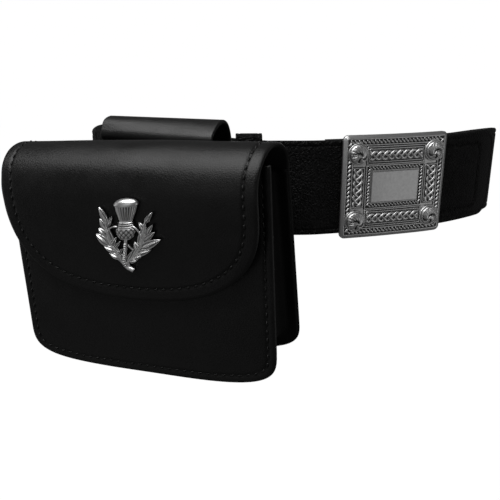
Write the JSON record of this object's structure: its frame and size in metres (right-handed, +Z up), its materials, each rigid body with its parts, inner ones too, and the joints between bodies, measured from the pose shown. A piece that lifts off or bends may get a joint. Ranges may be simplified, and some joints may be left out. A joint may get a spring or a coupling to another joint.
{
  "type": "kilt belt pouch",
  "caption": "Black leather flap pouch with a metal thistle badge, hung by a wide loop on a closed kilt belt with a cast knotwork buckle.",
  "frame": {"origin": "the middle of the waist the belt goes round, level with the middle of the belt at the pouch", "axes": "+Z up along the wearer, -Y the way the pouch faces, +X to the right of someone looking at the pouch"},
  "size_m": [0.2786, 0.3239, 0.1424],
  "materials": {
    "pouch_leather": "smooth satin black",
    "belt_leather": "grained black",
    "cast_metal": "antiqued silver",
    "bright_metal": "polished silver"
  },
  "bodies": {
    "root": {"front_panel": "pouch_leather", "back_and_flap": "pouch_leather", "gusset": "pouch_leather", "belt_loop": "pouch_leather", "thistle_badge": "bright_metal", "belt": "belt_leather", "keeper_left": "belt_leather", "keeper_right": "belt_leather", "buckle": "cast_metal", "buckle_hook": "cast_metal"}
  },
  "joints": []
}
